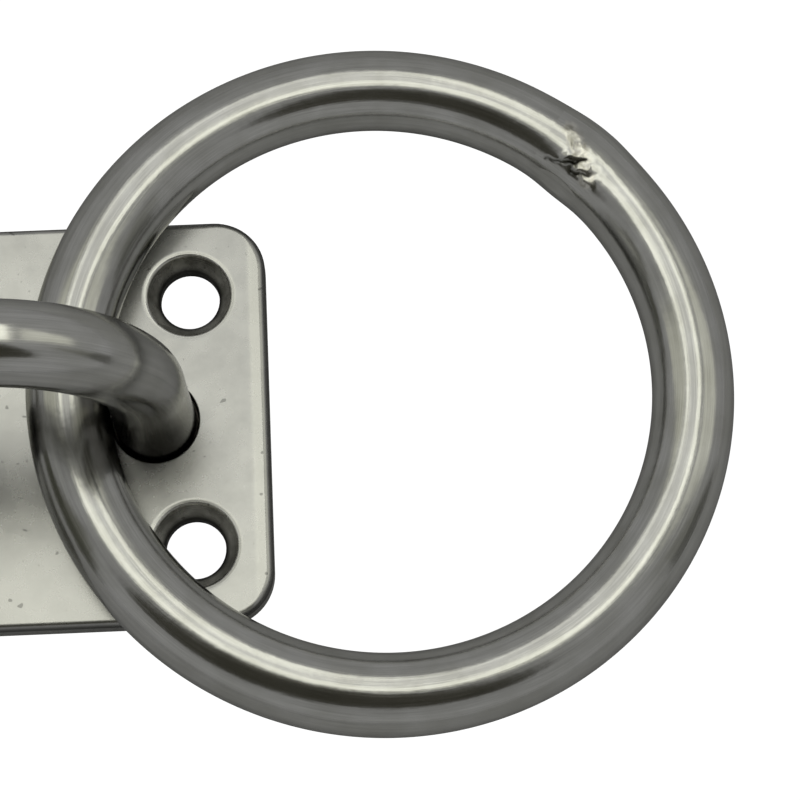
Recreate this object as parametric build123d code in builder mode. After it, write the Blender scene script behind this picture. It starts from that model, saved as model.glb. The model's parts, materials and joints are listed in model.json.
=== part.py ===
from build123d import *
import os
from math import cos, radians, sin

# Pad eye with a captive ring, in stainless steel. All sizes are in millimetres.
#
# An oblong plate is screwed down through four countersunk holes. The bow is one bent round bar, and its
# legs pass through the plate and are welded at its back. The ring hangs loose in the bow, and a butt weld
# closes it. The model stands on its back face, with the ring laid down over one end of the plate.
#
# Frame: origin at the centre of the plate's back face, +Z out of its front face, +X along its long side,
# towards the side where the ring lies.

# ---- Driving dimensions ----

plate_length = 50.0
plate_width = 40.0
plate_thickness = 3.0
plate_corner_radius = 5.0
front_edge_radius = 0.7
back_edge_radius = 0.3

screw_spacing_x = 35.0
screw_spacing_y = 25.0
screw_hole_diameter = 5.8
countersink_diameter = 8.2
countersink_angle = 66.0
countersink_lip_radius = 0.3

bow_bar_diameter = 7.6
bow_leg_spacing = 28.0
shoulder_height = 15.2      # where the straight legs end, above the plate's back face
shoulder_radius = 22.4      # centre line of the slow bend above each leg
shoulder_turn = 27.0        # degrees turned before the tighter crown begins

leg_hole_diameter = 8.3
leg_hole_edge_radius = 0.2
weld_bevel = 1.0            # 45 degree bevel round each leg hole, at the back
weld_root_gap = 0.8         # the leg stops this far inside the back face

ring_radius = 30.05         # centre line of the ring's wire
ring_wire_diameter = 7.9
ring_center_x = 36.05
ring_center_y = 2.0
ring_tilt = 3.45            # degrees, down towards +X: on the plate's edges, its far side on the table

ring_weld_angle = 47.5      # degrees round the ring from its far side, towards +Y
ring_weld_length = 7.4      # along the wire's centre line
ring_weld_diameter = 8.4
ring_weld_edge_radius = 0.2

leg_x = bow_leg_spacing / 2

os.makedirs("parts", exist_ok=True)


def save(piece, name):
    """Label a finished piece and write it as one STEP file."""
    piece.part.label = name
    export_step(piece.part, f"parts/{name}.step")


# ---- Base plate ----

with BuildPart() as base_plate:
    with BuildSketch():
        RectangleRounded(plate_length, plate_width, plate_corner_radius)
    extrude(amount=plate_thickness)
    fillet(base_plate.edges().group_by(Axis.Z)[-1], front_edge_radius)
    fillet(base_plate.edges().group_by(Axis.Z)[0], back_edge_radius)

    with Locations(Plane.XY.offset(plate_thickness)):
        with GridLocations(screw_spacing_x, screw_spacing_y, 2, 2):
            CounterSinkHole(
                radius=screw_hole_diameter / 2,
                counter_sink_radius=countersink_diameter / 2,
                counter_sink_angle=countersink_angle,
            )
    fillet(base_plate.edges(Select.LAST).group_by(Axis.Z)[-1], countersink_lip_radius)

    with Locations(Plane.XY.offset(plate_thickness)):
        with GridLocations(bow_leg_spacing, 0, 2, 1):
            Hole(radius=leg_hole_diameter / 2)
    leg_hole_edges = base_plate.edges(Select.LAST).filter_by(GeomType.CIRCLE)
    fillet(leg_hole_edges.group_by(Axis.Z)[-1], leg_hole_edge_radius)
    leg_hole_edges = base_plate.edges().filter_by(GeomType.CIRCLE).filter_by_position(Axis.Y, -1, 1)
    chamfer(leg_hole_edges.group_by(Axis.Z)[0], weld_bevel)
save(base_plate, "base_plate")


# ---- Bow: straight legs, a slow bend at each shoulder and a tighter crown, all tangent ----

crown_radius = shoulder_radius - (shoulder_radius - leg_x) / cos(radians(shoulder_turn))

with BuildPart() as bow:
    with BuildLine(Plane.XZ) as bow_line:
        leg = Line((leg_x, weld_root_gap), (leg_x, shoulder_height))
        shoulder = JernArc(leg @ 1, leg % 1, shoulder_radius, shoulder_turn)
        JernArc(shoulder @ 1, shoulder % 1, crown_radius, 90 - shoulder_turn)
        mirror(about=Plane.YZ)
    with BuildSketch(Plane.XY.offset(weld_root_gap)):
        with Locations((leg_x, 0)):
            Circle(bow_bar_diameter / 2)
    sweep()
save(bow, "bow")


# ---- Leg welds: each fills the bevel at the back, flush with the plate, under the leg's end ----

for side, name in ((-1, "left_leg_weld"), (1, "right_leg_weld")):
    with BuildPart() as leg_weld:
        with BuildSketch():
            with Locations((side * leg_x, 0)):
                Circle(leg_hole_diameter / 2 + weld_bevel)
        extrude(amount=weld_bevel, taper=45)
        with BuildSketch(Plane.XY.offset(weld_root_gap)):
            with Locations((side * leg_x, 0)):
                Circle(bow_bar_diameter / 2)
        extrude(amount=weld_bevel - weld_root_gap, mode=Mode.SUBTRACT)
    save(leg_weld, name)


# ---- Ring and its weld, about the ring's own axis ----

tilt = radians(ring_tilt)
wire_radius = ring_wire_diameter / 2
ring_center_z = ring_radius * sin(tilt) + wire_radius      # the far side of the wire touches the table
ring_plane = Plane(
    origin=(ring_center_x, ring_center_y, ring_center_z),
    x_dir=(cos(tilt), 0, -sin(tilt)),
    z_dir=(sin(tilt), 0, cos(tilt)),
)
ring_axis = Axis(ring_plane.origin, ring_plane.z_dir)
weld_half_angle = ring_weld_length / ring_radius / radians(1) / 2


def wire_section(angle):
    """The plane that cuts the ring's wire square, at an angle in degrees round the ring."""
    outward = ring_plane.x_dir * cos(radians(angle)) + ring_plane.y_dir * sin(radians(angle))
    wire_center = ring_plane.origin + outward * ring_radius
    return Plane(origin=wire_center, x_dir=outward, z_dir=ring_plane.z_dir.cross(outward))


weld_end_angle = ring_weld_angle + weld_half_angle

with BuildPart() as ring:
    with BuildSketch(wire_section(weld_end_angle)):
        Circle(wire_radius)
    revolve(axis=ring_axis, revolution_arc=360 - 2 * weld_half_angle)
save(ring, "ring")

with BuildPart() as ring_weld:
    with BuildSketch(wire_section(weld_end_angle)):
        Circle(ring_weld_diameter / 2)
    revolve(axis=ring_axis, revolution_arc=-2 * weld_half_angle)
    fillet(ring_weld.edges().filter_by(GeomType.CIRCLE), ring_weld_edge_radius)
save(ring_weld, "ring_weld")

hinge_point = ring_plane.origin - ring_plane.x_dir * ring_radius
print("ring centre", ring_plane.origin, "hinge point", hinge_point)
print("crown radius", round(crown_radius, 3))
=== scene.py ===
import json
from math import cos, exp, hypot, pi, radians, sin

import bmesh
import bpy
from mathutils import Euler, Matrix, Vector, noise


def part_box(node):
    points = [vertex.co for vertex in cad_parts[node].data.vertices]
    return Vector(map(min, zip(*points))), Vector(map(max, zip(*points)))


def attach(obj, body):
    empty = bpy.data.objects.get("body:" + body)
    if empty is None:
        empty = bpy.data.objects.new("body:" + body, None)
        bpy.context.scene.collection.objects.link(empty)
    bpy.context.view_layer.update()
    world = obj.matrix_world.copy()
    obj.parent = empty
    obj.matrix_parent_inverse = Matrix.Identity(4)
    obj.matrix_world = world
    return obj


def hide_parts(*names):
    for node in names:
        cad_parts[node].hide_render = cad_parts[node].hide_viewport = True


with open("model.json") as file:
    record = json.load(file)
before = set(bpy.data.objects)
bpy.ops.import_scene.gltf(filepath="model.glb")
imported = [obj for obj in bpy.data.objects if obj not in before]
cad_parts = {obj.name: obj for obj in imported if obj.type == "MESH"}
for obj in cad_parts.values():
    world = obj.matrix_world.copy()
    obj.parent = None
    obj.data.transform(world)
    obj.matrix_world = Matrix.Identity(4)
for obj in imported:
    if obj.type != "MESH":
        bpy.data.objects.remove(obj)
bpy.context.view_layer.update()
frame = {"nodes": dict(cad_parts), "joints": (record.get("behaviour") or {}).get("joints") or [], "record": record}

# Everything is in metres, in the frame of the CAD model: the plate's back face is z = 0, +X runs along the
# plate towards the side where the ring lies, and +Z points out of the plate.

MM = 0.001
CENTIMETRE = 0.01                           # the reach of the shades that follow a distance

# ---- Camera ----

CAMERA_PLACE = (0.03321, -0.06303, 0.24242)
CAMERA_TURN = (15.009, -0.403, -2.499)      # degrees about X, Y and Z
CAMERA_LENS = 115.14                        # mm
CAMERA_SENSOR = 36.0

# ---- Shape details that the CAD model leaves plain ----

SECTION_POINTS = 96                         # round a bar
BOW_STEPS = 220                             # along half of the bow
RING_STEPS = 900                            # along the ring, outside its weld
WELD_STEPS = 140                            # along the ring's weld
WELD_SECTION_POINTS = 480                   # round the ring's weld

SHOULDER_HEIGHT = 15.2 * MM                 # the bow's outline, as in the CAD model
SHOULDER_RADIUS = 22.4 * MM
SHOULDER_TURN = radians(27)
FOOT_SWELL = 0.14 * MM                      # how much thicker the bar is where it is upset into the plate
FOOT_SWELL_HEIGHT = 12 * MM
CROWN_LEAN = 0.26 * MM                      # how far the crown leans to -Y
CROWN_OVAL = 0.13 * MM                      # the crown's section is this much out of round
CROWN_OVAL_TURN = radians(107)              # from +Y over the outside, where the oval's slope is steepest

WELD_ANGLE = radians(47.5)                  # round the ring, from its far side towards +Y
WELD_HALF_LENGTH = 3.7 * MM
WELD_BULGE = 0.24 * MM
WELD_BULGE_REACH = 2.9 * MM                 # along the wire, where the bulge has fallen to a third
WELD_BULGE_ON_TOP = 0.35                    # the bulge on the wire's top, as a share of that on its sides
WELD_FACETS = ((-68, 0.08 * MM), (62, 0.10 * MM))   # flats: degrees from the top, metres above the wire
SCAR_START = (-2.2, 0.85)                   # mm along and round the wire from the weld's middle, on top
SCAR_END = (2.5, -2.3)
SCAR_WIDTH = 0.9                            # mm
SCAR_ROUGHNESS = 0.02                       # mm
SCAR_RIDGES = (                             # start and end (mm along, mm round), width, height
    ((1.6, -1.0), (2.6, -1.2), 1.10, -0.09), ((-0.80, -1.70), (0.30, -1.10), 0.50, 0.12),
    ((0.80, -1.95), (1.75, -1.45), 0.40, 0.11), ((2.30, -2.30), (3.00, -2.20), 0.45, 0.10),
    ((-1.95, 0.75), (-1.85, 0.80), 0.30, 0.03), ((-0.60, 0.05), (-0.35, 0.0), 0.30, 0.04),
)
SCAR_CREASES = (                            # start and end (mm along, mm round), width, depth, painted shade
    ((-2.30, -2.95), (-0.65, -2.20), 0.26, 0.04, 0.6), ((-0.60, -2.15), (0.30, -1.65), 0.34, 0.06, 1.0),
    ((0.30, -1.65), (0.80, -0.95), 0.22, 0.05, 0.9), ((0.45, -2.45), (1.30, -2.15), 0.30, 0.06, 1.0),
    ((1.30, -2.15), (2.05, -1.95), 0.22, 0.05, 0.8), ((-1.75, 0.30), (-1.25, 0.0), 0.50, 0.03, 0.35),
    ((-1.05, -0.30), (-0.85, -0.6), 0.30, 0.03, 0.25),
)
SCAR_WANDER = 0.28                          # mm; how far the ridges and creases stray from straight
# The colour of the painted shade in the weld scar's creases.
SCAR_CREASE_SHADE = (0.05, 0.05, 0.035)


def look_for(record, group, name):
    """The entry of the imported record's list that has this name."""
    return next(entry for entry in record[group] if entry["name"] == name)


# ---- The ring's, the bow's and the plate's measures, from the frame ----

ring_mount = look_for(frame["record"], "mounts", "ring_inside")
ring_center = Vector(ring_mount["pos_m"])
ring_normal = Vector(ring_mount["axis"]).normalized()
hinge_point = Vector(frame["joints"][0]["pos_m"])
ring_radius = (hinge_point - ring_center).length
wire_radius = ring_center.z - ring_radius * ring_normal.x
ring_across = Vector((ring_normal.z, 0, -ring_normal.x))
ring_up = ring_normal.cross(ring_across)

bow_low, bow_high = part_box("bow")
bow_radius = (bow_high.y - bow_low.y) / 2
leg_x = bow_high.x - bow_radius
leg_end = bow_low.z

plate_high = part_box("base_plate")[1]
screw_spacing = look_for(frame["record"], "mounts", "screw_holes")["dims"]
screw_place = (screw_spacing["spacing_x_mm"] / 2 * MM, screw_spacing["spacing_y_mm"] / 2 * MM, 0)


# ---- Small mesh helpers ----

def shown(name, mesh, material):
    """A new object in the scene with one material, shaded smooth."""
    piece = bpy.data.objects.new(name, mesh)
    bpy.context.scene.collection.objects.link(piece)
    mesh.materials.append(material)
    mesh.polygons.foreach_set("use_smooth", [True] * len(mesh.polygons))
    return piece


def bar_mesh(name, stations, radius_at, section_points=SECTION_POINTS, crease_shade_at=None):
    """A closed round bar through stations of (place along it, centre, outward, upward).

    radius_at(place, angle) is the surface's distance from the centre line, where angle runs from the top
    towards outside. The mesh gets a UV map "bar" that holds the place along the bar and round it, in
    millimetres, for materials whose marks follow the bar. Its seam is at the bottom. With crease_shade_at, which
    takes the same arguments as radius_at, it also gets an attribute "dirt" that holds how much painted shade lies
    there.
    """
    mesh_maker = bmesh.new()
    crease_shade_layer = mesh_maker.verts.layers.float.new("crease_shade") if crease_shade_at else None
    bar_map = mesh_maker.loops.layers.uv.new("bar")
    rings = []
    for place, center, outward, upward in stations:
        ring = []
        for step in range(section_points):
            angle = 2 * pi * step / section_points - pi
            direction = upward * cos(angle) + outward * sin(angle)
            ring.append(mesh_maker.verts.new(center + direction * radius_at(place, angle)))
            if crease_shade_at:
                ring[-1][crease_shade_layer] = crease_shade_at(place, angle)
        rings.append(ring)
    mean_radius = radius_at(stations[len(stations) // 2][0], 0)
    round_step = 2 * pi * mean_radius / section_points / MM
    for row in range(len(rings) - 1):
        along = (stations[row][0] / MM, stations[row + 1][0] / MM)
        for step in range(section_points):
            after = (step + 1) % section_points
            corners = (rings[row][step], rings[row][after], rings[row + 1][after], rings[row + 1][step])
            face = mesh_maker.faces.new(corners)
            turn = step - section_points / 2
            places = ((along[0], turn), (along[0], turn + 1), (along[1], turn + 1), (along[1], turn))
            for loop, (place, turned) in zip(face.loops, places):
                loop[bar_map].uv = (place, turned * round_step)
    for ring in (rings[0], rings[-1]):
        middle = mesh_maker.verts.new(sum((v.co for v in ring), Vector()) / section_points)
        for step in range(section_points):
            after = (step + 1) % section_points
            mesh_maker.faces.new((ring[step], ring[after], middle))
            mesh_maker.edges.get((ring[step], ring[after])).smooth = False
    bmesh.ops.recalc_face_normals(mesh_maker, faces=mesh_maker.faces)
    mesh = bpy.data.meshes.new(name)
    mesh_maker.to_mesh(mesh)
    mesh_maker.free()
    return mesh


# ---- Materials: node helpers ----

class Nodes:
    """A material's node tree, with short ways to add and join nodes."""

    def __init__(self, name):
        self.material = bpy.data.materials.new(name)
        self.material.use_nodes = True
        self.tree = self.material.node_tree
        self.tree.nodes.clear()

    def add(self, kind, settings=None, **inputs):
        """A node with its settings, and its inputs set by name to a value or to another node's output.

        An input's name has _ for a space, and _0, _1 or _2 stands for the input with that number.
        """
        made = self.tree.nodes.new(kind)
        for key, value in (settings or {}).items():
            setattr(made, key, value)
        for key, value in inputs.items():
            label = int(key[1:]) if key[0] == "_" else key.replace("_", " ")
            socket = made.inputs[label]
            if isinstance(value, bpy.types.NodeSocket):
                self.tree.links.new(value, socket)
            else:
                socket.default_value = value
        return made

    def math(self, operation, first, second=0.0):
        return self.add("ShaderNodeMath", {"operation": operation}, _0=first, _1=second).outputs[0]

    def bar_place(self, along, across):
        """The place on a bar in millimetres, scaled along and round the bar, with no seam at the turn."""
        place = self.add("ShaderNodeUVMap", {"uv_map": "bar"}).outputs[0]
        return self.add("ShaderNodeMapping", None, Vector=place, Scale=(along, across, 1)).outputs[0]

    def noise(self, vector, scale=1.0, detail=4.0, roughness=0.5):
        return self.add(
            "ShaderNodeTexNoise", None, Vector=vector, Scale=scale, Detail=detail, Roughness=roughness
        ).outputs["Fac"]

    def ramp(self, value, stops):
        """A colour ramp with stops of (place, grey level or colour)."""
        made = self.add("ShaderNodeValToRGB", None, Fac=value)
        band = made.color_ramp
        while len(band.elements) < len(stops):
            band.elements.new(0.5)
        for element, (place, color) in zip(band.elements, stops):
            element.position = place
            element.color = (*color, 1) if hasattr(color, "__len__") else (color, color, color, 1)
        return made.outputs["Color"]

    def mix(self, share, first, second, blend="MIX"):
        made = self.add("ShaderNodeMix", {"data_type": "RGBA", "blend_type": blend}, _0=share)
        for socket, value in ((made.inputs[6], first), (made.inputs[7], second)):
            if isinstance(value, bpy.types.NodeSocket):
                self.tree.links.new(value, socket)
            else:
                socket.default_value = (*value, 1) if len(value) == 3 else value
        return made.outputs[2]

    def vector(self, operation, first, second=(0, 0, 0)):
        made = self.add("ShaderNodeVectorMath", {"operation": operation}, _0=first, _1=second)
        return made.outputs["Value" if operation in ("LENGTH", "DOT_PRODUCT") else "Vector"]

    def scaled(self, value, factor, offset):
        """value * factor + offset."""
        made = self.add("ShaderNodeMath", {"operation": "MULTIPLY_ADD"}, _0=value, _1=factor, _2=offset)
        return made.outputs[0]

    def steps(self, distance, stops):
        """A shade that changes with a distance of up to a centimetre, with stops of (metres, shade)."""
        shades = [(place / CENTIMETRE, shade) for place, shade in stops]
        return self.ramp(self.math("MULTIPLY", distance, 1 / CENTIMETRE), shades)

    def darkening(self, height, uneven):
        """Darkens a bar from this height down to its welded foot, with an uneven edge."""
        place = self.add("ShaderNodeTexCoord").outputs["Object"]
        level = self.add("ShaderNodeSeparateXYZ", None, Vector=place).outputs["Z"]
        share = self.math("ADD", self.math("DIVIDE", level, height), self.scaled(uneven, 0.3, -0.15))
        return self.ramp(share, FOOT_DARKENING_SHADE)

    def scar(self):
        """How much of the weld's scar shows: 1 along its middle, with a ragged edge."""
        place = self.add("ShaderNodeUVMap", {"uv_map": "bar"}).outputs[0]
        reach = (SCAR_END[0] - SCAR_START[0], SCAR_END[1] - SCAR_START[1], 0)
        past = self.vector("SUBTRACT", place, (*SCAR_START, 0))
        share = self.vector("DOT_PRODUCT", past, reach)
        share = self.math("DIVIDE", share, reach[0] ** 2 + reach[1] ** 2)
        share = self.math("MAXIMUM", self.math("MINIMUM", share, 1.0), 0.0)
        nearest = self.add("ShaderNodeVectorMath", {"operation": "SCALE"}, _0=reach, Scale=share).outputs[0]
        away = self.vector("LENGTH", self.vector("SUBTRACT", past, nearest))
        ragged = self.math("ADD", away, self.scaled(self.noise(place, 1.6, 3.0), 1.2, -0.6))
        return self.ramp(ragged, ((0.55, 1.0), (1.0, 0.0)))

    def roll(self, distance, start, most, way, bend):
        """The height of a face that bends down past start, over at most this distance, then runs straight.

        With way 1 it bends where the distance grows past start, and with way -1 where it falls below.
        """
        past = self.math("MAXIMUM", self.scaled(distance, way, -way * start), 0.0)
        over = self.math("MAXIMUM", self.math("SUBTRACT", past, most), 0.0)
        past, over = (self.math("MULTIPLY", length, length) for length in (past, over))
        return self.math("MULTIPLY", self.math("SUBTRACT", past, over), -bend)

    def bump(self, height, distance, after=None):
        """Bump from a height, where a height of 1 stands for distance in metres."""
        made = self.add("ShaderNodeBump", None, Height=height, Distance=distance, Strength=1.0)
        if after is not None:
            self.tree.links.new(after, made.inputs["Normal"])
        return made.outputs["Normal"]

    def metal(self, color, roughness, normal, edge_tint):
        """The finished bare metal. At a grazing angle it reflects edge_tint of what clean metal does."""
        shader = self.add(
            "ShaderNodeBsdfPrincipled", None, Base_Color=color, Roughness=roughness, Metallic=1.0,
            Normal=normal, Specular_Tint=(edge_tint, edge_tint, edge_tint, 1),
        )
        self.add("ShaderNodeOutputMaterial", None, Surface=shader.outputs[0])
        return self.material


# ---- Materials: bars, plate and leg welds ----

# A shade multiplies the metal's colour, and its stops are (place, shade).

BAR_COLOR = (0.575, 0.575, 0.56)
BOW_COLOR = (0.61, 0.61, 0.595)
SCAR_SHADE = ((0.36, (0.70, 0.68, 0.62)), (0.50, (1.0, 0.98, 0.93)), (0.62, (1.25, 1.23, 1.18)))
FOOT_DARKENING_HEIGHT = 17.0 * MM                     # how high up the legs they darken towards their feet
FOOT_DARKENING_SHADE = (
    (0.20, (0.13, 0.127, 0.12)), (0.50, (0.22, 0.215, 0.205)), (0.75, (0.50, 0.49, 0.48)),
    (1.0, (1.0, 1.0, 1.0)),
)
FINE_SCRATCHES = (0.16, 9.0)                # a bar's marks: noise per mm along the bar and round it
DRAWN_STREAKS = (0.035, 1.6)
DENTS = (0.7, 0.9)
STAINS = (0.25, 0.35)
SCAR_BLOTCHES = (1.1, 1.1)
DENT_DEPTH = 0.012 * MM
SCRATCH_DEPTH = 0.002 * MM


def polished_bar(name, color, roughness, draw_depth, edge_tint, darkening_height=None, scarred=False):
    """Drawn and polished round bar: faint marks along the bar, small dents and a little staining.

    Below darkening_height the bar darkens towards its welded foot. A scarred bar has the weld scar's dull
    blotches and painted shade in its creases.
    """
    nodes = Nodes(name)
    fine = nodes.noise(nodes.bar_place(*FINE_SCRATCHES), detail=3.0)
    drawn = nodes.noise(nodes.bar_place(*DRAWN_STREAKS), detail=4.0)
    dented = nodes.noise(nodes.bar_place(*DENTS), detail=2.0)
    cloud = nodes.noise(nodes.bar_place(*STAINS), detail=5.0)
    stain = nodes.ramp(cloud, ((0.35, (0.90, 0.90, 0.88)), (0.65, (1.05, 1.05, 1.05))))
    streak = nodes.ramp(drawn, ((0.3, 0.90), (0.7, 1.08)))
    scratch = nodes.ramp(fine, ((0.3, 0.90), (0.7, 1.07)))
    tint = nodes.mix(1.0, nodes.mix(1.0, color, stain, "MULTIPLY"), streak, "MULTIPLY")
    tint = nodes.mix(1.0, tint, scratch, "MULTIPLY")
    if darkening_height:
        tint = nodes.mix(1.0, tint, nodes.darkening(darkening_height, cloud), "MULTIPLY")
    spread = nodes.scaled(fine, 0.10, roughness - 0.05)
    if scarred:
        scar = nodes.scar()
        blotch = nodes.ramp(nodes.noise(nodes.bar_place(*SCAR_BLOTCHES), detail=2.0), SCAR_SHADE)
        tint = nodes.mix(scar, tint, nodes.mix(1.0, color, blotch, "MULTIPLY"))
        # Painted shade in the weld scar's creases, from the mesh's attribute.
        crease_shade = nodes.add("ShaderNodeAttribute", {"attribute_name": "crease_shade"}).outputs["Fac"]
        tint = nodes.mix(crease_shade, tint, SCAR_CREASE_SHADE)
        spread = nodes.math("ADD", spread, nodes.math("MULTIPLY", scar, 0.06))
    normal = nodes.bump(drawn, draw_depth)
    normal = nodes.bump(dented, DENT_DEPTH, normal)
    normal = nodes.bump(fine, SCRATCH_DEPTH, normal)
    return nodes.metal(tint, spread, normal, edge_tint)


PLATE_COLOR = (0.57, 0.57, 0.55)
PLATE_CORNER_RADIUS = 5 * MM
PLATE_CORNER = (plate_high.x - PLATE_CORNER_RADIUS, plate_high.y - PLATE_CORNER_RADIUS, 0)
PLATE_END = (plate_high.x, 0, 0)
PLATE_MOTTLE = 420.0                        # noise per metre
PLATE_PATCH = 110.0
PLATE_GRAIN = 3800.0
PLATE_SPECK = 1500.0
TURNING_MARKS = 7000.0
HOLE_STAINS = 330.0
# Rolled edges: where the bend starts, over what distance it runs, which way, and how much it bends.
END_ROLL = (-2.1 * MM, 0.7 * MM, 1, 115.0)  # measured from the plate's end
SCREW_ROLL = (4.7 * MM, 0.3 * MM, -1, 300.0)    # measured from a screw hole's middle
# Painted shade along the plate's rounded front edge, standing in for its dark reflection: where it lies by height,
# and how dark it is inwards from the outline.
ROUNDED_EDGE_SHARE = ((0.0, 0.0), (plate_high.z - 0.85 * MM, 0.0), (plate_high.z - 0.60 * MM, 1.0))
ROUNDED_EDGE_PAINTED_SHADE = ((0.0, 0.25), (0.14 * MM, 0.32), (0.30 * MM, 0.70), (0.45 * MM, 1.0))
SCREW_PAINTED_SHADE_AND_HIGHLIGHT = (                             # from a screw hole's middle outwards: painted shade inside the hole and on the countersink's inner lip, then a painted highlight round the countersink's rim
    (0.0, 0.12), (3.05 * MM, 0.12), (3.25 * MM, 0.6), (3.45 * MM, 0.9), (3.95 * MM, 0.9),
    (4.10 * MM, 1.25), (4.25 * MM, 1.25), (4.40 * MM, 1.0),
)
HOLE_STAIN_SHADE = ((0.35, (0.65, 0.64, 0.59)), (0.65, (1.60, 1.58, 1.52)))
TURNED_SHARE = ((0.0, 1.0), (4.00 * MM, 1.0), (4.20 * MM, 0.0))
# Painted shade: the plate is nearly black inside the hole round each leg.
LEG_GAP_PAINTED_SHADE = ((0.0, 0.03), (4.20 * MM, 0.03), (4.30 * MM, 1.0))


def tumbled_plate(name, color, roughness, edge_tint):
    """Stamped plate, tumbled to an even satin: mottled, nicked, rolled edges, painted shade inside its holes and
    along its rounded front edge, and a painted highlight round each countersink's rim.
    """
    nodes = Nodes(name)
    place = nodes.add("ShaderNodeTexCoord").outputs["Object"]
    folded = nodes.vector("MULTIPLY", nodes.vector("ABSOLUTE", place), (1, 1, 0))
    past_corner = nodes.vector("MAXIMUM", nodes.vector("SUBTRACT", folded, PLATE_CORNER), (0, 0, 0))
    edge = nodes.math("SUBTRACT", nodes.vector("LENGTH", past_corner), PLATE_CORNER_RADIUS)
    inside = nodes.math("MULTIPLY", edge, -1.0)
    past_end = nodes.vector("DOT_PRODUCT", nodes.vector("SUBTRACT", folded, PLATE_END), (1, 0, 0))
    height = nodes.add("ShaderNodeSeparateXYZ", None, Vector=place).outputs["Z"]
    from_screw = nodes.vector("LENGTH", nodes.vector("SUBTRACT", folded, screw_place))
    from_leg = nodes.vector("LENGTH", nodes.vector("SUBTRACT", folded, (leg_x, 0, 0)))

    mottle = nodes.noise(place, PLATE_MOTTLE, 4.0, 0.6)
    patch = nodes.noise(place, PLATE_PATCH, 3.0, 0.5)
    grain = nodes.noise(place, PLATE_GRAIN, 3.0, 0.6)
    speck = nodes.ramp(nodes.noise(place, PLATE_SPECK, 0.0, 0.3), ((0.15, 0.3), (0.19, 1.0)))
    tint = nodes.mix(1.0, color, nodes.ramp(patch, ((0.3, 0.92), (0.7, 1.06))), "MULTIPLY")
    tint = nodes.mix(1.0, tint, nodes.ramp(mottle, ((0.3, 0.92), (0.7, 1.06))), "MULTIPLY")
    tint = nodes.mix(0.6, tint, speck, "MULTIPLY")
    # Painted shade inside the screw holes and a painted highlight round their countersinks' rims.
    tint = nodes.mix(1.0, tint, nodes.steps(from_screw, SCREW_PAINTED_SHADE_AND_HIGHLIGHT), "MULTIPLY")
    # Painted shade in the gap round each leg.
    tint = nodes.mix(1.0, tint, nodes.steps(from_leg, LEG_GAP_PAINTED_SHADE), "MULTIPLY")
    # Painted shade along the rounded front edge, standing in for its dark reflection.
    rounded = nodes.steps(height, ROUNDED_EDGE_SHARE)
    painted_dark_edge = nodes.mix(1.0, tint, nodes.steps(inside, ROUNDED_EDGE_PAINTED_SHADE), "MULTIPLY")
    tint = nodes.mix(rounded, tint, painted_dark_edge)
    spread = nodes.scaled(mottle, 0.10, roughness - 0.05)
    turned = nodes.noise(nodes.vector("MULTIPLY", (1, 1, 1), from_screw), TURNING_MARKS, 2.0)
    turned_share = nodes.steps(from_screw, TURNED_SHARE)
    turned = nodes.mix(turned_share, (0.5, 0.5, 0.5), turned)
    stained = nodes.ramp(nodes.noise(place, HOLE_STAINS, 3.0, 0.6), HOLE_STAIN_SHADE)
    tint = nodes.mix(turned_share, tint, nodes.mix(1.0, tint, stained, "MULTIPLY"))

    normal = nodes.bump(nodes.roll(past_end, *END_ROLL), 1.0)
    normal = nodes.bump(turned, 0.012 * MM, normal)
    normal = nodes.bump(nodes.roll(from_screw, *SCREW_ROLL), 1.0, normal)
    normal = nodes.bump(patch, 0.02 * MM, normal)
    normal = nodes.bump(mottle, 0.006 * MM, normal)
    normal = nodes.bump(grain, 0.0012 * MM, normal)
    return nodes.metal(tint, spread, normal, edge_tint)


LEG_WELD_COLOR = (0.30, 0.29, 0.27)
WELD_BLOTCHES = 700.0                       # noise per metre
WELD_PITS = 2500.0
WELD_SHADE = ((0.3, (0.55, 0.52, 0.47)), (0.55, (0.9, 0.89, 0.86)), (0.7, (1.05, 1.05, 1.05)))


def weld_metal(name, color, roughness, edge_tint):
    """As-welded steel: blotchy, dulled by the welding and rough."""
    nodes = Nodes(name)
    place = nodes.add("ShaderNodeTexCoord").outputs["Object"]
    blotch = nodes.noise(place, WELD_BLOTCHES, 5.0, 0.6)
    pitted = nodes.noise(place, WELD_PITS, 3.0, 0.6)
    darkening = nodes.ramp(blotch, WELD_SHADE)
    tint = nodes.mix(1.0, color, darkening, "MULTIPLY")
    spread = nodes.scaled(pitted, 0.25, roughness - 0.12)
    normal = nodes.bump(blotch, 0.03 * MM)
    normal = nodes.bump(pitted, 0.006 * MM, normal)
    return nodes.metal(tint, spread, normal, edge_tint)


BAR_ROUGHNESS = 0.18
BOW_EDGE_TINT = 0.55
RING_EDGE_TINT = 0.65
BOW_DRAW_DEPTH = 0.003 * MM
RING_DRAW_DEPTH = 0.010 * MM

plate_steel = tumbled_plate("tumbled_plate", PLATE_COLOR, roughness=0.27, edge_tint=0.55)
bow_steel = polished_bar(
    "bow_bar", BOW_COLOR, BAR_ROUGHNESS, BOW_DRAW_DEPTH, BOW_EDGE_TINT, FOOT_DARKENING_HEIGHT
)
ring_steel = polished_bar("ring_bar", BAR_COLOR, BAR_ROUGHNESS, RING_DRAW_DEPTH, RING_EDGE_TINT)
scar_steel = polished_bar(
    "ring_weld", BAR_COLOR, BAR_ROUGHNESS, RING_DRAW_DEPTH, RING_EDGE_TINT, scarred=True
)
leg_weld_steel = weld_metal("leg_weld", LEG_WELD_COLOR, roughness=0.38, edge_tint=0.4)


# ---- Plate: the CAD node with its material ----

def finish_plate():
    """Gives the CAD plate its steel."""
    plate = frame["nodes"]["base_plate"]
    plate.data.materials.clear()
    plate.data.materials.append(plate_steel)


# ---- Bow ----

def eased(share):
    """A share from 0 to 1 that starts and ends gently."""
    share = min(1, max(0, share))
    return share * share * (3 - 2 * share)


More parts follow.
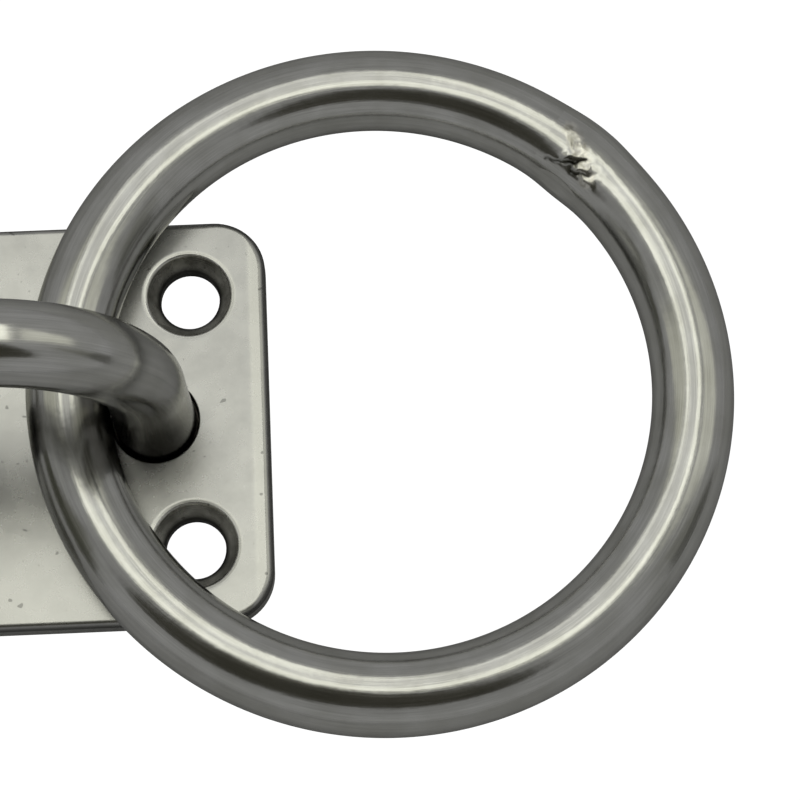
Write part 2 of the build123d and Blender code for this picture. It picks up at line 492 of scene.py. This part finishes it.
def crown_share(height):
    """How far up the crown a height is: 0 at the top of the legs, 1 near the top of the bow."""
    return eased((height - SHOULDER_HEIGHT) / (bow_high.z - 2 * bow_radius - SHOULDER_HEIGHT))


def bow_stations():
    """Places along the bow's centre line, from the foot of the right leg over to the left."""
    crown_radius = SHOULDER_RADIUS - (SHOULDER_RADIUS - leg_x) / cos(SHOULDER_TURN)
    leg_length = SHOULDER_HEIGHT - leg_end
    shoulder_length = SHOULDER_RADIUS * SHOULDER_TURN
    half_length = leg_length + shoulder_length + crown_radius * (pi / 2 - SHOULDER_TURN)
    crown_center = SHOULDER_HEIGHT + (SHOULDER_RADIUS - crown_radius) * sin(SHOULDER_TURN)
    stations = []
    for step in range(2 * BOW_STEPS + 1):
        place = half_length * step / BOW_STEPS
        side = 1 if step <= BOW_STEPS else -1
        near = place if side == 1 else 2 * half_length - place
        if near < leg_length:
            turn, x, z = 0.0, leg_x, leg_end + near
        elif near < leg_length + shoulder_length:
            turn = (near - leg_length) / SHOULDER_RADIUS
            x = leg_x - SHOULDER_RADIUS + SHOULDER_RADIUS * cos(turn)
            z = SHOULDER_HEIGHT + SHOULDER_RADIUS * sin(turn)
        else:
            turn = SHOULDER_TURN + (near - leg_length - shoulder_length) / crown_radius
            x = crown_radius * cos(turn)
            z = crown_center + crown_radius * sin(turn)
        outward = Vector((side * cos(turn), 0, sin(turn)))
        lean = CROWN_LEAN * crown_share(z)
        stations.append((place, Vector((side * x, -lean, z)), outward, Vector((0, 1, 0))))
    return stations


def make_bow():
    stations = bow_stations()
    heights = {place: center.z for place, center, outward, upward in stations}

    def radius_at(place, angle):
        oval = CROWN_OVAL * crown_share(heights[place]) * sin(2 * (angle - CROWN_OVAL_TURN))
        return bow_radius + oval + FOOT_SWELL * eased(1 - heights[place] / FOOT_SWELL_HEIGHT)

    mesh = bar_mesh("bow_bar", stations, radius_at)
    piece = shown("bow_bar", mesh, bow_steel)
    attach(piece, "plate_and_bow")
    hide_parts("bow")


# ---- Ring and its weld ----

def from_line(along, across, start, end):
    """The distance from a place to the line between two others."""
    reach_along, reach_across = end[0] - start[0], end[1] - start[1]
    share = (along - start[0]) * reach_along + (across - start[1]) * reach_across
    share = min(1, max(0, share / (reach_along ** 2 + reach_across ** 2)))
    return hypot(along - start[0] - share * reach_along, across - start[1] - share * reach_across)


def strayed(along, across):
    """A place on the wire in mm, moved a little so that straight marks turn out uneven."""
    spot = Vector((along * 1.2, across * 1.2, 3.3))
    other_spot = spot + Vector((9.1, 4.7, 0))
    return along + SCAR_WANDER * noise.noise(spot), across + SCAR_WANDER * noise.noise(other_spot)


def scar_relief(along, across):
    """The weld scar's height in mm, at a place in mm from the top of the weld's middle."""
    away = from_line(along, across, SCAR_START, SCAR_END)
    rough = noise.noise(Vector((along * 1.1, across * 1.1, 7.1)))
    height = SCAR_ROUGHNESS * rough * exp(-((away / SCAR_WIDTH) ** 2))
    along, across = strayed(along, across)
    for start, end, width, rise in SCAR_RIDGES:
        height += rise * exp(-((from_line(along, across, start, end) / width) ** 2))
    for start, end, width, depth, crease_shade in SCAR_CREASES:
        height -= depth * exp(-((from_line(along, across, start, end) / width) ** 2))
    return height


def scar_crease_shade(place, angle):
    """How much painted shade lies here: 1 along the middle of a crease whose painted shade is full."""
    along, across = strayed(place / MM, angle * wire_radius / MM)
    return max(
        crease_shade * exp(-((from_line(along, across, start, end) / width) ** 2))
        for start, end, width, depth, crease_shade in SCAR_CREASES
    )


def wire_surface(place, angle):
    """The wire's radius, this many metres past the weld's middle, at an angle from the top outwards."""
    sideways = WELD_BULGE_ON_TOP + (1 - WELD_BULGE_ON_TOP) * sin(angle) ** 2
    radius = wire_radius + WELD_BULGE * exp(-((place / WELD_BULGE_REACH) ** 2)) * sideways
    for facet_angle, facet_height in WELD_FACETS:
        tilt = cos(angle - radians(facet_angle))
        if tilt > 0.5:
            radius = min(radius, (wire_radius + facet_height) / tilt)
    if abs(place) < WELD_HALF_LENGTH * 1.3 and cos(angle) > 0:
        radius += scar_relief(place / MM, angle * wire_radius / MM) * MM
    return radius


def wire_surface_round(place, angle):
    """wire_surface, for places that run right round the ring to the weld's other side."""
    around = 2 * pi * ring_radius
    return wire_surface(place if place < around / 2 else place - around, angle)


def ring_stations(first, last, steps):
    """Stations of the wire from one place to another, in metres past the middle of the weld."""
    stations = []
    for step in range(steps + 1):
        place = first + (last - first) * step / steps
        turned = WELD_ANGLE - place / ring_radius
        outward = ring_across * cos(turned) + ring_up * sin(turned)
        stations.append((place, ring_center + outward * ring_radius, outward, ring_normal))
    return stations


def make_ring():
    around = 2 * pi * ring_radius
    stations = ring_stations(WELD_HALF_LENGTH, around - WELD_HALF_LENGTH, RING_STEPS)
    mesh = bar_mesh("ring_bar", stations, wire_surface_round)
    piece = shown("ring_bar", mesh, ring_steel)
    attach(piece, "captive_ring")
    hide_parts("ring")


def make_ring_weld():
    stations = ring_stations(-WELD_HALF_LENGTH, WELD_HALF_LENGTH, WELD_STEPS)
    mesh = bar_mesh("ring_weld_bead", stations, wire_surface, WELD_SECTION_POINTS, scar_crease_shade)
    piece = shown("ring_weld_bead", mesh, scar_steel)
    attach(piece, "captive_ring")
    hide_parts("ring_weld")


# ---- Leg welds ----

LEG_WELD_STEPS = 240                        # round a leg
LEG_WELD_PROFILE = (                        # mm from the leg's middle, mm of height, share of the ripple
    (0.0, 0.42, 0), (1.2, 0.40, 0), (2.6, 0.34, 0), (3.1, 0.30, 0), (3.6, 0.17, 1), (4.1, 0.11, 1),
    (4.6, 0.13, 1), (4.9, 0.16, 0), (5.12, 0.04, 0), (4.30, 0.86, 0), (4.13, 0.98, 0), (3.86, 0.98, 0),
    (3.82, 0.81, 0), (0.0, 0.81, 0),
)
RIPPLE = 0.05                               # mm
RIPPLES = 26                                # round a leg


def leg_weld_column(turn, side):
    """Points over the bead, from its middle at the back out to its rim and in again over the leg's end."""
    seed = side * 5.3
    uneven = noise.noise(Vector((turn, seed, 0)))
    ripple = RIPPLE * sin(turn * RIPPLES + 1.3 * sin(turn * 3 + seed)) + RIPPLE * uneven
    middle = Vector((side * leg_x, 0, 0))
    for away, height, rippled in LEG_WELD_PROFILE:
        yield middle + Vector((away * cos(turn), away * sin(turn), height + rippled * ripple)) * MM


def make_leg_weld(name, side):
    """The plug weld in the plate's back, at the foot of the leg on this side."""
    mesh_maker = bmesh.new()
    columns = []
    for step in range(LEG_WELD_STEPS):
        turn = 2 * pi * step / LEG_WELD_STEPS
        columns.append([mesh_maker.verts.new(spot) for spot in leg_weld_column(turn, side)])
    for step in range(LEG_WELD_STEPS):
        here = columns[step]
        there = columns[(step + 1) % LEG_WELD_STEPS]
        for row in range(len(here) - 1):
            mesh_maker.faces.new((here[row], here[row + 1], there[row + 1], there[row]))
    bmesh.ops.remove_doubles(mesh_maker, verts=mesh_maker.verts, dist=0.001 * MM)
    bmesh.ops.recalc_face_normals(mesh_maker, faces=mesh_maker.faces)
    mesh = bpy.data.meshes.new(name)
    mesh_maker.to_mesh(mesh)
    mesh_maker.free()
    piece = shown(name + "_bead", mesh, leg_weld_steel)
    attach(piece, "plate_and_bow")
    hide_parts(name)


# ---- Studio ----

STUDIO_MIDDLE = Vector((0.03, 0, 0.006))
CEILING = 0.7                               # metres above the object
LOW_CEILING = CEILING * 0.98                # the bars of light hang a little below the panel
DARK_HEIGHT = 0.3                           # metres from the object to the overhead card
SIDE_DISTANCE = 0.5                         # metres from the object to the far cards
ROOM_GLOW = (0.31, 0.31, 0.3038, 1)
LIGHTS = (          # name; left, right, near and far slope; radiance; share of blue; height
    ("panel", -0.40, 0.36, 0.0, 0.80, 0.50, 0.93, CEILING),
    ("left_bar", -0.39, -0.23, 0.0, 0.40, 0.80, 0.82, LOW_CEILING),
    ("left_bar_far", -0.39, -0.23, 0.40, 0.78, 0.45, 0.85, LOW_CEILING),
    ("right_bar", 0.20, 0.36, -0.04, 0.78, 0.85, 0.82, LOW_CEILING),
    ("near_bar", -0.23, 0.20, -0.04, 0.16, 0.75, 0.82, LOW_CEILING),
    ("far_bar", -0.23, 0.20, 0.64, 0.80, 0.35, 0.85, LOW_CEILING),
    ("left_glow", -1.9, -0.46, 0.16, 0.70, 0.27, 0.72, CEILING),
    ("right_glow", 0.52, 1.75, 0.02, 0.62, 0.40, 0.80, CEILING),
)
PHOTOGRAPHER = (                            # the outline's slopes from the middle of the object
    (-0.04, -0.10), (0.04, -0.10), (0.22, -0.19), (0.36, -0.31), (0.55, -0.51), (0.72, -0.74),
    (0.8, -1.1), (-0.85, -1.1), (-1.0, -0.62), (-0.88, -0.46), (-0.6, -0.31), (-0.28, -0.18),
)
PHOTOGRAPHER_COLOR = (0.045, 0.043, 0.033)
FAR_CARDS = (       # name, colour, outline on a half globe seen from above
    ("left_dark_low", (0.06, 0.06, 0.045), (
        (-0.95, 0.28), (-0.98, -0.06), (-0.90, -0.42), (-0.64, -0.26), (-0.70, -0.05), (-0.86, 0.25),
    )),
    ("left_dark_high", (0.12, 0.12, 0.10), ((-0.70, -0.05), (-0.64, -0.26), (-0.38, -0.08))),
    ("right_dark_low", (0.10, 0.10, 0.09), (
        (0.98, -0.04), (0.91, -0.38), (0.66, -0.25), (0.72, -0.08),
    )),
    ("right_dark_high", (0.19, 0.19, 0.17), ((0.72, -0.08), (0.66, -0.25), (0.36, -0.10))),
)
FLOOR_HALF_SIDE = 3.0
FLOOR_DROP = 0.02 * MM                      # below the plate's back face
FLOOR_SHADE = 0.88
FLOOR_GLOW = 0.9
FLOOR_SEEN_IN_STEEL = 0.70


def ceiling_light(name, left, right, near, far, radiance, blue, height):
    """A soft light that faces straight down, from the middle of the object seen between these slopes."""
    width, length = (right - left) * height, (far - near) * height
    data = bpy.data.lights.new(name, "AREA")
    data.shape = "RECTANGLE"
    data.size, data.size_y = width, length
    data.energy = radiance * pi * width * length
    data.color = (1, 1, blue)
    lamp = bpy.data.objects.new(name, data)
    bpy.context.scene.collection.objects.link(lamp)
    middle = Vector(((left + right) / 2, (near + far) / 2, 1))
    lamp.location = STUDIO_MIDDLE + middle * height
    lamp.visible_camera = False


def glow_material(name, color):
    """A material that only sends out this colour."""
    material = bpy.data.materials.new(name)
    material.use_nodes = True
    tree = material.node_tree
    tree.nodes.clear()
    glow = tree.nodes.new("ShaderNodeEmission")
    glow.inputs["Color"].default_value = (*color, 1)
    tree.links.new(glow.outputs[0], tree.nodes.new("ShaderNodeOutputMaterial").inputs["Surface"])
    return material


def dark_card(name, color, corners):
    """A flat dark card through these points that only reflections see."""
    mesh = bpy.data.meshes.new(name)
    mesh.from_pydata(corners, [], [list(range(len(corners)))])
    board = bpy.data.objects.new(name, mesh)
    bpy.context.scene.collection.objects.link(board)
    mesh.materials.append(glow_material(name, color))
    board.visible_camera = False
    board.visible_diffuse = False
    board.visible_shadow = False


def overhead_card(name, color, outline):
    """A dark card above the object, with its outline given as slopes from the middle of the object."""
    dark_card(name, color, [STUDIO_MIDDLE + Vector((x, y, 1)) * DARK_HEIGHT for x, y in outline])


def far_card(name, color, outline):
    """A dark card beside the object, with its outline given on a half globe seen from above.

    The middle of that globe's picture is straight up and its edge, one away, is level with the object.
    """
    corners = []
    for x, y in outline:
        off = x * x + y * y
        toward = Vector((2 * x, 2 * y, 1 - off)) / (1 + off)
        corners.append(STUDIO_MIDDLE + toward * SIDE_DISTANCE)
    dark_card(name, color, corners)


def make_floor(name, shade, glow):
    """A wide matt white floor just under the plate, which also glows."""
    square = ((-1, -1), (1, -1), (1, 1), (-1, 1))
    corners = [(x * FLOOR_HALF_SIDE, y * FLOOR_HALF_SIDE, 0) for x, y in square]
    mesh = bpy.data.meshes.new(name)
    mesh.from_pydata(corners, [], [(0, 1, 2, 3)])
    floor = bpy.data.objects.new(name, mesh)
    bpy.context.scene.collection.objects.link(floor)
    material = bpy.data.materials.new(name)
    material.use_nodes = True
    shader = material.node_tree.nodes["Principled BSDF"]
    shader.inputs["Base Color"].default_value = (shade, shade, shade, 1)
    shader.inputs["Roughness"].default_value = 0.9
    shader.inputs["Specular IOR Level"].default_value = 0.0
    shader.inputs["Emission Color"].default_value = (1, 1, 1, 1)
    shader.inputs["Emission Strength"].default_value = glow
    mesh.materials.append(material)
    floor.location.z = -FLOOR_DROP
    return floor


def make_studio():
    world = bpy.data.worlds.new("studio")
    world.use_nodes = True
    world.node_tree.nodes["Background"].inputs["Color"].default_value = ROOM_GLOW
    bpy.context.scene.world = world
    for light in LIGHTS:
        ceiling_light(*light)
    overhead_card("photographer", PHOTOGRAPHER_COLOR, PHOTOGRAPHER)
    for card in FAR_CARDS:
        far_card(*card)
    ground = make_floor("floor", FLOOR_SHADE, FLOOR_GLOW)
    ground.visible_glossy = False
    ground.visible_diffuse = False
    table = make_floor("floor_in_reflections", FLOOR_SEEN_IN_STEEL, 0.0)
    table.visible_camera = False


def make_camera():
    data = bpy.data.cameras.new("camera")
    data.lens = CAMERA_LENS
    data.sensor_width = CAMERA_SENSOR
    data.clip_start = 0.01
    data.clip_end = 50.0
    camera = bpy.data.objects.new("camera", data)
    bpy.context.scene.collection.objects.link(camera)
    camera.location = CAMERA_PLACE
    camera.rotation_euler = Euler([radians(turn) for turn in CAMERA_TURN])
    bpy.context.scene.camera = camera


make_camera()
finish_plate()
make_bow()
make_ring()
make_ring_weld()
make_leg_weld("left_leg_weld", -1)
make_leg_weld("right_leg_weld", 1)
make_studio()
bpy.context.scene.view_settings.view_transform = "Standard"
